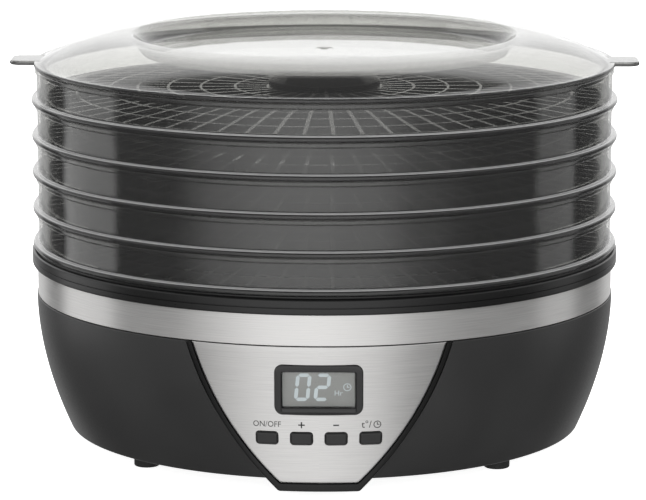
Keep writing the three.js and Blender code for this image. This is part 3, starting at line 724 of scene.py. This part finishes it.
# how an edge falls away, as (distance in from it, part of the fall there)
LIP = ((0.0, 1.0), (0.12, 0.6), (0.4, 0.22), (0.9, 0.0))


def lip_fall(inwards):
    """The part of a lip's fall that is left at a distance in from the edge."""
    for (near, near_part), (far, far_part) in zip(LIP, LIP[1:]):
        if inwards < far:
            return near_part + (far_part - near_part) * (inwards - near) / (far - near)
    return 0.0


def panel_patch(name, grow, front, back, lip=0.0, columns=48):
    """A block inside the panel's outline, between two radii given as functions of height.
    With a lip, the front face falls away by that much at the outline's edge."""
    rows = panel_half(grow)
    (bottom_half, bottom), (top_half, top) = rows[0], rows[-1]
    spread = [inwards for inwards, _ in LIP] if lip else [0.0]
    slant = 0.3  # sideways step of the outline for each millimetre of height near its ends
    for inwards in spread[1:-1]:
        rows += [(bottom_half + slant * inwards, bottom + inwards),
                 (top_half - slant * inwards, top - inwards)]
    rows.sort(key=lambda row: row[1])
    loops = []
    for half, z in rows:
        across = [half - distance for distance in spread]
        inner = across[-1]
        middle = [inner - 2 * inner * i / columns for i in range(1, columns)]
        xs = across + middle + [-x for x in reversed(across)]
        face = [front(z) - lip * lip_fall(min(half - abs(x), z - bottom, top - z)) for x in xs]
        outer = [(x, -math.sqrt(r * r - x * x), z) for x, r in zip(xs, face)]
        r = back(z)
        inner_side = [(x, -math.sqrt(r * r - x * x), z) for x in reversed(xs)]
        loops.append(outer + inner_side)
    count = len(loops[0])
    half_count = count // 2
    verts = [point for loop in loops for point in loop]
    faces = loop_faces(len(loops), count)
    for start in (0, (len(loops) - 1) * count):
        for k in range(half_count - 1):
            faces.append((start + k, start + k + 1, start + count - 2 - k, start + count - 1 - k))
    return mesh_object(name, verts, faces)


def cone(proud):
    """The panel's radius as a function of height, that far out."""
    return lambda z: panel_radius(z) + proud


def wall_inside(inwards):
    """The housing's radius as a function of height, that far inwards."""
    return lambda z: body_radius(max(BODY_BOTTOM, min(BODY_TOP, z))) - inwards


def panel_place(height, angle=0.0):
    """From a local frame on the panel's surface, whose -Y points straight out of it."""
    return (Matrix.Rotation(angle, 4, "Z") @ Matrix.Translation((0, -panel_radius(height), height))
            @ Matrix.Rotation(PANEL_TILT, 4, "X"))


def button_angle(name):
    return math.asin(BUTTON_PLACES[name] / panel_radius(BUTTON_HEIGHT))


def panel_openings():
    """Cutters for the display and the four buttons, with a gap round each."""
    places = [(BEZEL, panel_place(DISPLAY_HEIGHT))]
    places += [(BUTTON, panel_place(BUTTON_HEIGHT, button_angle(name))) for name in BUTTONS]
    return [placed(lofted("cut", [upright_loop(size, depth, GAP) for depth in CUT_REACH]), place)
            for size, place in places]


def from_back(height):
    """From a frame whose +Z runs out of the back, at a height."""
    return Matrix.Translation((0, 0, height)) @ Matrix.Rotation(-math.pi / 2, 4, "X")


def lower_housing():
    """The base's shell, opened for the panel, the bottom cover and the cord gland."""
    ledge = COVER_TOP + GAP
    rim = COVER_RADIUS + GAP
    inner = body_curve(WALL, BODY_TOP - WALL, ledge + WALL)
    shell = turned("housing_shell", rounded([
        (body_radius(BODY_BOTTOM), BODY_BOTTOM, 1.2),
        *body_curve(0, BODY_BOTTOM + 3, BODY_TOP - 1),
        (BODY_TOP_RADIUS, BODY_TOP, 0.5), (NECK_RADIUS, BODY_TOP), (NECK_RADIUS, DECK_BOTTOM - GAP),
        (NECK_RADIUS - WALL, DECK_BOTTOM - GAP), *inner,
        (LEDGE_RADIUS, ledge + WALL), (LEDGE_RADIUS, ledge), (rim, ledge),
        (rim, BODY_BOTTOM, 0.4),
    ]))
    opening = panel_patch("opening", SURROUND_BORDER + GAP, cone(BEYOND),
                          wall_inside(SURROUND_INSIDE + GAP))
    hole, near, far = GLAND_STEM_RADIUS + GAP, 120, 170
    gland_hole = turned("gland_hole", [(0, near), (hole, near), (hole, far), (0, far)], 48)
    return boolean(shell, opening, placed(gland_hole, from_back(GLAND_HEIGHT)))


finished(lower_housing(), "base", CHARCOAL, "body_plastic", "lower_housing")

DECK_BORE = 31.3
DECK_PLATE = (103.2, 105.7)  # bottom and top of the deck's plate
DECK_SKIRT = (152.2, 154.2, 96.0)  # inner and outer radius, and bottom, of the skirt in the neck
DECK_RIM = (157.5, 160.6)  # inner and outer radius of the rim that the lowest tray stands on
DECK_SHOULDER = 108.8
GROOVE = (103.9, 104.1, 104.35, 104.55)  # heights of the fine groove round the deck
GROOVE_DEPTH = 0.35


def deck_ring():
    """The black upper casing: a plate with a skirt below, an outer wall and a rim on top."""
    groove = zip((0, GROOVE_DEPTH, GROOVE_DEPTH, 0), GROOVE)
    return turned("deck_ring", rounded([
        (DECK_BORE, DECK_PLATE[0], 0.3), (DECK_SKIRT[0], DECK_PLATE[0]),
        (DECK_SKIRT[0], DECK_SKIRT[2]), (DECK_SKIRT[1], DECK_SKIRT[2]),
        (DECK_SKIRT[1], DECK_BOTTOM), (DECK_RADIUS, DECK_BOTTOM, 0.8),
        *((DECK_RADIUS - depth, height) for depth, height in groove),
        (DECK_RADIUS, DECK_SHOULDER, 1.1), (DECK_RIM[1], DECK_SHOULDER, 0.2),
        (DECK_RIM[1], DECK_TOP, 0.3), (DECK_RIM[0], DECK_TOP, 0.3), (DECK_RIM[0], DECK_PLATE[1]),
        (DECK_BORE, DECK_PLATE[1], 0.3),
    ]))


finished(deck_ring(), "base", BLACK, "black_plastic", "top_deck")

BAND_THICKNESS = 0.8
band = turned("steel_band_ring", rounded([
    (BAND_RADIUS - BAND_THICKNESS, BAND_BOTTOM), (BAND_RADIUS, BAND_BOTTOM, 0.3),
    (BAND_RADIUS, BAND_TOP, 0.3), (BAND_RADIUS - BAND_THICKNESS, BAND_TOP),
]))
finished(band, "base", STEEL, "brushed_steel", "steel_band")

surround = boolean(
    panel_patch("panel_frame", SURROUND_BORDER, cone(SURROUND_PROUD),
                wall_inside(SURROUND_INSIDE), lip=SURROUND_LIP),
    panel_patch("recess", GAP, cone(BEYOND), cone(-FACE_THICKNESS - GAP)),
    panel_patch("behind", -WEB_BORDER, cone(-WEB_DEPTH), lambda z: HOLLOW_RADIUS),
    *panel_openings())
finished(surround, "base", BLACK, "black_plastic", "panel_surround")

steel_face = boolean(panel_patch("steel_face", 0, cone(0), cone(-FACE_THICKNESS), lip=FACE_LIP),
                     *panel_openings())
finished(steel_face, "base", STEEL, "brushed_steel", "control_panel")

# ---- display ----
SILL_DROP = 2.2  # how much lower the window's sill is at the front than at the glass
BEZEL_DEPTH = 7.0


def window_loop(depth, grow=0.0, drop=0.0):
    """A loop round the window; its lower side can sit lower, so that the sill slopes."""
    return [(x, y, z - (drop if z < 0 else 0)) for x, y, z in upright_loop(WINDOW, depth, grow)]


def on_display(obj, material, slot, *replaced):
    """Sets a piece made round the display's middle on the panel and finishes it."""
    return finished(placed(obj, panel_place(DISPLAY_HEIGHT)), "base", material, slot, *replaced)


bezel = lofted("display_frame", [
    upright_loop(BEZEL, BEZEL_DEPTH), upright_loop(BEZEL, 0.1), upright_loop(BEZEL, -0.25, -0.2),
    upright_loop(BEZEL, -0.4, -0.6), window_loop(-0.4, 0.5, SILL_DROP),
    window_loop(-0.2, 0.2, SILL_DROP), window_loop(0.1, 0.0, SILL_DROP - 0.32),
    window_loop(0.12, 0.0, 0.16), window_loop(0.29), window_loop(BEZEL_DEPTH),
], cyclic=True)
on_display(bezel, BEZEL_BLACK, "display_black", "display_bezel")

PANE = (WINDOW[0] - 2 * GAP, WINDOW[1] - 2 * GAP, 0.6)
LENS_DEPTHS = (1.5, 0.3)  # back and front
LCD_DEPTHS = (5.4, 1.85)


def pane(name, depths, bevel):
    """A plate the size of the window, with a bevel round its front."""
    back, front = depths
    return lofted(name, [upright_loop(PANE, back), upright_loop(PANE, front + bevel),
                         upright_loop(PANE, front, -bevel)])


on_display(pane("window_pane", LENS_DEPTHS, 0.2), LENS, "display_window", "display_lens")
on_display(pane("lcd_panel", LCD_DEPTHS, 0.15), LCD, "lcd_glass", "lcd_module")

SEGMENT_DEPTH = 1.8  # how far the display's marks lie behind the panel's surface
DIGIT_SIZE = (8.0, 15.2)
DIGIT_PLACES = {"0": -8.3, "2": 1.9}
DIGIT_LIFT = 1.1
LCD_CLOCK = (14.8, 1.2, 2.1, 0.4)  # x, z, radius and line width
STROKE = 1.9
SLANT = 0.1
SEGMENTS = {"0": "abcdef", "2": "abged"}


def moved(outline, x, z):
    return [(px + x, pz + z) for px, pz in outline]


def segment_outlines(width, height, stroke, gap=0.18):
    """Outlines of a seven-segment digit's bars, by letter."""
    w, h, s, g = width / 2, height / 2, stroke, gap
    level = [(-w + s / 2 + g, 0), (-w + s + g, s / 2), (w - s - g, s / 2), (w - s / 2 - g, 0),
             (w - s - g, -s / 2), (-w + s + g, -s / 2)]
    side = [(0, g), (s / 2, s / 2 + g), (s / 2, h - s - g), (0, h - s / 2 - g),
            (-s / 2, h - s - g), (-s / 2, s / 2 + g)]
    edge, end = w - s / 2, h - s / 2
    return {"a": moved(level, 0, end), "g": level, "d": moved(level, 0, -end),
            "f": moved(side, -edge, 0), "b": moved(side, edge, 0),
            "e": moved(side, -edge, -end), "c": moved(side, edge, -end)}


def flat_pieces(name, outlines, depth, thickness=0.04):
    """Thin raised shapes from outlines in X and Z, as one mesh."""
    verts, faces = [], []
    for outline in outlines:
        base, count = len(verts), len(outline)
        verts += [(x, y, z) for y in (depth, depth - thickness) for x, z in outline]
        faces.append(tuple(range(base, base + count)))
        faces.append(tuple(range(base + 2 * count - 1, base + count - 1, -1)))
        faces += [(base + k, base + (k + 1) % count, base + count + (k + 1) % count, base + count + k)
                  for k in range(count)]
    return mesh_object(name, verts, faces, 20)


def half_ring(radius, width, start, steps=16):
    """Half of a flat ring, from a start angle."""
    angles = [start + math.pi * i / steps for i in range(steps + 1)]
    outer = [(radius * math.cos(a), radius * math.sin(a)) for a in angles]
    inner = [((radius - width) * math.cos(a), (radius - width) * math.sin(a)) for a in angles]
    return outer + inner[::-1]


def bar(left, right, bottom, top):
    return [(left, bottom), (right, bottom), (right, top), (left, top)]


def clock_outlines(x, z, radius, width):
    """A round clock face with its two hands."""
    half = width / 2
    parts = [half_ring(radius, width, 0), half_ring(radius, width, math.pi),
             bar(-half, half, -half, radius * 0.6), bar(half, radius * 0.55, -half, half)]
    return [moved(part, x, z) for part in parts]


def lcd_marks():
    """The display's two digits and its clock."""
    bars = segment_outlines(*DIGIT_SIZE, STROKE)
    outlines = []
    for digit, x in DIGIT_PLACES.items():
        for letter in SEGMENTS[digit]:
            outlines.append([(px + SLANT * pz + x, pz + DIGIT_LIFT) for px, pz in bars[letter]])
    outlines += clock_outlines(*LCD_CLOCK)
    return flat_pieces("lcd_digits", outlines, SEGMENT_DEPTH)


on_display(lcd_marks(), SEGMENT, "lcd_glass")


def lettering(name, text, size, x, z, depth=0.0, thickness=0.03, stretch=1.0):
    """A word as a thin mesh in X and Z, centred on a place."""
    curve = bpy.data.curves.new(name, "FONT")
    curve.body = text
    curve.size = size * MM
    curve.align_x = "CENTER"
    curve.align_y = "CENTER"
    curve.extrude = thickness / 2 * MM
    curve.resolution_u = 4
    source = new_object(name + "_curve", curve)
    graph = bpy.context.evaluated_depsgraph_get()
    mesh = bpy.data.meshes.new_from_object(source.evaluated_get(graph), depsgraph=graph)
    bpy.data.objects.remove(source)
    obj = new_object(name, mesh)
    upright = Matrix.Rotation(math.pi / 2, 4, "X")
    placed(obj, Matrix.Translation((x, depth, z)) @ upright @ Matrix.Diagonal((stretch, 1, 1, 1)))
    weld(mesh, outward=False)
    return obj


hours = lettering("lcd_hours", "Hr", 4.0, 10.2, -2.2, SEGMENT_DEPTH - 0.02)
on_display(hours, SEGMENT, "lcd_glass")


# ---- printed labels ----
def wrapped(obj, clearance=0.02):
    """Lays a flat label's points, given in X and Z with Y as height, on the panel's cone."""
    for vertex in obj.data.vertices:
        x, out, z = vertex.co / MM
        radius = panel_radius(z) + clearance - out
        angle = math.asin(x / radius)
        vertex.co = Vector((radius * math.sin(angle), -radius * math.cos(angle), z)) * MM
    return obj


LABEL_HEIGHT = 41.0
LABEL_CLOCK = (2.0, 0.4)  # radius and line width
SIGN_HALF = 0.34  # half the line width of the plus and minus signs
PLUS_REACH = 1.7
MINUS_REACH = 1.5


def sign_outlines():
    """A plus sign as one upright bar and two arms, and a minus sign."""
    upright = bar(-SIGN_HALF, SIGN_HALF, -PLUS_REACH, PLUS_REACH)
    arms = [bar(-PLUS_REACH, -SIGN_HALF, -SIGN_HALF, SIGN_HALF),
            bar(SIGN_HALF, PLUS_REACH, -SIGN_HALF, SIGN_HALF)]
    minus = bar(-MINUS_REACH, MINUS_REACH, -SIGN_HALF, SIGN_HALF)
    plus_place, minus_place = BUTTON_PLACES["button_plus"], BUTTON_PLACES["button_minus"]
    outlines = [moved(part, plus_place, LABEL_HEIGHT) for part in (upright, *arms)]
    return outlines + [moved(minus, minus_place, LABEL_HEIGHT)]


def make_labels():
    power, mode = BUTTON_PLACES["button_power"], BUTTON_PLACES["button_mode"]
    clock = clock_outlines(mode + 3.4, LABEL_HEIGHT, *LABEL_CLOCK)
    labels = [
        lettering("label_power", "ON/OFF", 4.4, power, LABEL_HEIGHT, stretch=0.92),
        lettering("label_temperature", "t°/", 5.3, mode - 2.2, LABEL_HEIGHT),
        flat_pieces("label_clock", clock, 0),
        flat_pieces("label_signs", sign_outlines(), 0),
    ]
    for label in labels:
        finished(wrapped(label), "base", INK, "display_black")


make_labels()


# ---- buttons ----
STEM = (3.0, 3.0, 0.3)  # the square stem that pushes the switch
STEM_BACK = 8.3
CAP_FLANGE_DEPTHS = (5.5, 4.3)  # back and front of the flange that keeps the cap in
CAP_FLANGE_GROWTH = 1.1
# the cap's rounded face, as (depth, growth)
CAP_STEPS = ((-0.1, 0.0), (-0.3, -0.08), (-0.8, -0.55), (-0.95, -0.8), (-1.0, -1.2))


def button(name):
    """A cap with a rounded face, standing out of the panel, with its flange and stem behind."""
    back, front = CAP_FLANGE_DEPTHS
    steps = ((back, CAP_FLANGE_GROWTH), (front, CAP_FLANGE_GROWTH), (front, 0.0), *CAP_STEPS)
    loops = [upright_loop(STEM, STEM_BACK), upright_loop(STEM, back)]
    loops += [upright_loop(BUTTON, depth, grow) for depth, grow in steps]
    cap = placed(lofted(name + "_cap", loops), panel_place(BUTTON_HEIGHT, button_angle(name)))
    body = name.replace("button_", "") + "_button"
    return finished(cap, body, BUTTON_BLACK, "button_plastic", name)


for button_name in BUTTONS:
    button(button_name)


# ---- feet and cord gland ----
def foot(name):
    """A round rubber pad with a slightly hollow sole."""
    middle = (low(name) + high(name)) / 2
    top = high(name).z
    shape = turned(name + "_pad", rounded([
        (0, 0.4), (FOOT_RADIUS - 2.6, 0.4), (FOOT_RADIUS - 2.2, 0), (FOOT_RADIUS, 0, 0.9),
        (FOOT_RADIUS, top, 0.4), (0, top),
    ]), 48)
    placed(shape, Matrix.Translation((middle.x, middle.y, 0)))
    return finished(shape, "base", RUBBER, "rubber", name)


for index in range(1, 5):
    foot(f"foot_{index}")


def gland():
    """The rubber bush at the back, with a flange outside the wall."""
    front, back = low("cord_gland").y, high("cord_gland").y
    seat = back - 2.5
    bore, stem, flange = 3.4, GLAND_STEM_RADIUS, 8.5
    bush = turned("gland_bush", rounded([
        (bore, front), (stem, front, 0.4), (stem, seat), (flange, seat, 0.3), (flange, back, 0.9),
        (bore, back, 0.8),
    ]), 64)
    return finished(placed(bush, from_back(GLAND_HEIGHT)), "base", RUBBER, "rubber", "cord_gland")


gland()

# ---- CAD nodes that keep their shapes ----
KEPT = {
    BLACK: ["outlet_grille"], CHARCOAL: ["bottom_cover"], BOARD: ["control_board", "power_board"],
    ZINC: ["air_duct", "thermal_fuse", "motor_mount", "motor_core", "motor_rotor", "motor_shaft",
           "upper_bearing_bridge", "lower_bearing_bridge",
           *(f"cover_screw_{i}" for i in range(1, 5))],
    COPPER: ["motor_coil"], MICA: ["heater_frame"], WIRE: ["heater_coil"], TAPE: ["transformer"],
    TERMINAL: ["terminal_block"], FAN_GREY: ["fan_rotor"],
    SLEEVE: ["temperature_sensor", "relay", "capacitor", "switch_power", "switch_plus",
             "switch_minus", "switch_mode"],
}
for kept_material, names in KEPT.items():
    for node_name in names:
        for material_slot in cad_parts[node_name].material_slots:
            material_slot.material = kept_material


# ---- stage, lights and camera ----
def floor_sheet():
    """The surface it stands on, lit from within so that it stays white, and not mirrored."""
    reach = 9000
    sheet = mesh_object("stage_floor", [(-reach, -reach, 0), (reach, -reach, 0), (reach, reach, 0),
                                        (-reach, reach, 0)], [(0, 1, 2, 3)])
    material, nodes, shader = new_material("pale_floor")
    speck = noise(nodes, object_points(nodes), 3.0, 2.0)
    nodes.link(nodes.ramp(speck, [(0.3, grey(250)), (0.7, grey(253))]), shader.inputs["Base Color"])
    shader.inputs["Roughness"].default_value = 0.9
    shader.inputs["Specular IOR Level"].default_value = 0.0
    shader.inputs["Emission Color"].default_value = (1, 1, 1, 1)
    shader.inputs["Emission Strength"].default_value = 0.9
    sheet.data.materials.append(material)
    sheet.visible_glossy = False


# The studio that shiny surfaces see, as brightness by direction. Degrees are counted from the
# front towards +X. Rise goes from 0 straight down to 1 straight up.
BACKDROP = [(-180, 1.3), (-160, 1.25), (-146, 0.95), (-140, 0.2), (-126, 0.2), (-88, 0.25),
            (-60, 0.3), (-42, 0.85), (-22, 1.3), (0, 1.35), (22, 1.1), (38, 0.5), (60, 0.24),
            (92, 0.22), (120, 0.16), (140, 0.2), (148, 0.85), (162, 1.15), (180, 1.3)]
UPPER_BACKDROP = [(-180, 1.25), (-120, 0.95), (-60, 0.85), (0, 1.15), (60, 0.8), (120, 0.9),
                  (180, 1.25)]
SIDE_BOXES = [(-180, 0.0), (-126, 0.0), (-122, 1.15), (-92, 1.15), (-88, 0.0), (92, 0.0),
              (97, 0.65), (116, 0.65), (120, 0.0), (180, 0.0)]
BACKDROP_LIFT = [(-180, 0.14), (-72, 0.14), (-28.8, 0.0), (28.8, 0.0), (72, 0.14), (180, 0.14)]
BACKDROP_BY_RISE = [(0.0, 0.4), (0.30, 0.5), (0.36, 1.0), (0.69, 1.0), (0.71, 0.15), (1.0, 0.15)]
BOXES_BY_RISE = [(0.0, 0.0), (0.36, 0.0), (0.38, 1.0), (0.47, 1.0), (0.49, 0.0), (1.0, 0.0)]
UPPER_BY_RISE = [(0.0, 0.0), (0.5, 0.0), (0.56, 1.0), (1.0, 1.0)]


def studio_level(nodes):
    """Brightness of the studio in the direction that a ray looks."""
    split = nodes.add("ShaderNodeSeparateXYZ")
    nodes.link(nodes.add("ShaderNodeTexCoord").outputs["Generated"], split.inputs[0])
    x, y, z = split.outputs
    turn = nodes.math("ARCTAN2", x, nodes.math("MULTIPLY", y, -1.0))
    place = nodes.math("ADD", nodes.math("DIVIDE", turn, TAU), 0.5)
    rise = nodes.math("ADD", nodes.math("MULTIPLY", z, 0.5), 0.5)

    def round_about(stops):
        return nodes.ramp(place, [((degrees + 180) / 360, level) for degrees, level in stops])

    lower, upper = round_about(BACKDROP), round_about(UPPER_BACKDROP)
    aloft = nodes.ramp(rise, UPPER_BY_RISE)
    change = nodes.math("MULTIPLY", aloft, nodes.math("SUBTRACT", upper, lower))
    backdrop = nodes.math("ADD", lower, change)
    lowered = nodes.math("SUBTRACT", rise, round_about(BACKDROP_LIFT))
    backdrop = nodes.math("MULTIPLY", backdrop, nodes.ramp(lowered, BACKDROP_BY_RISE))
    boxes = nodes.math("MULTIPLY", round_about(SIDE_BOXES), nodes.ramp(rise, BOXES_BY_RISE))
    return nodes.math("ADD", backdrop, boxes)


def studio_world():
    """White all round to the eye; shiny surfaces see side softboxes and a lit backdrop."""
    world = bpy.data.worlds.new("studio")
    world.use_nodes = True
    bpy.context.scene.world = world
    nodes = Nodes(world.node_tree)
    background = world.node_tree.nodes["Background"]
    level = studio_level(nodes)
    shine = nodes.add("ShaderNodeCombineColor")
    for channel in ("Red", "Green", "Blue"):
        nodes.link(level, shine.inputs[channel])
    path = nodes.add("ShaderNodeLightPath")
    choose = nodes.add("ShaderNodeMix", data_type="RGBA")
    nodes.link(path.outputs["Is Glossy Ray"], choose.inputs["Factor"])
    choose.inputs["A"].default_value = (1.0, 1.0, 1.0, 1)
    nodes.link(shine.outputs[0], choose.inputs["B"])
    nodes.link(choose.outputs["Result"], background.inputs["Color"])


def softbox(name, place, target, size, watts):
    """A rectangular light that lights the object but shows in no reflection."""
    light = bpy.data.lights.new(name, "AREA")
    light.shape = "RECTANGLE"
    light.size, light.size_y = size
    light.energy = watts
    obj = new_object(name, light)
    obj.location = place
    obj.rotation_euler = (Vector(target) - Vector(place)).to_track_quat("-Z", "Y").to_euler()
    obj.visible_glossy = False
    obj.visible_camera = False


CAMERA_PLACE = (0.035, -1.8444, 0.45165)
CAMERA_TURNS = (79.335, 0, 1.087)  # degrees about X, Y and Z
CAMERA_LENS = 186.35
CAMERA_SHIFT = -0.002322  # as a part of the picture's width


def make_camera():
    """The object's axis is 1.845 m away, the lens 0.452 m above the surface it stands on."""
    camera = bpy.data.cameras.new("camera")
    camera.sensor_width = 36
    camera.lens = CAMERA_LENS
    camera.shift_x = CAMERA_SHIFT
    camera.clip_end = 100
    obj = new_object("camera", camera)
    obj.location = CAMERA_PLACE
    obj.rotation_euler = [math.radians(turn) for turn in CAMERA_TURNS]
    bpy.context.scene.camera = obj


floor_sheet()
studio_world()
softbox("light_top", (0, -0.2, 2.2), (0, 0, 0.1), (2.4, 2.0), 22)
softbox("light_front", (0.3, -2.6, 1.3), (0, 0, 0.1), (1.6, 1.2), 12)
make_camera()
scene = bpy.context.scene
scene.view_settings.view_transform = "Standard"
scene.view_settings.look = "None"
scene.cycles.transparent_max_bounces = 48
scene.cycles.max_bounces = 10
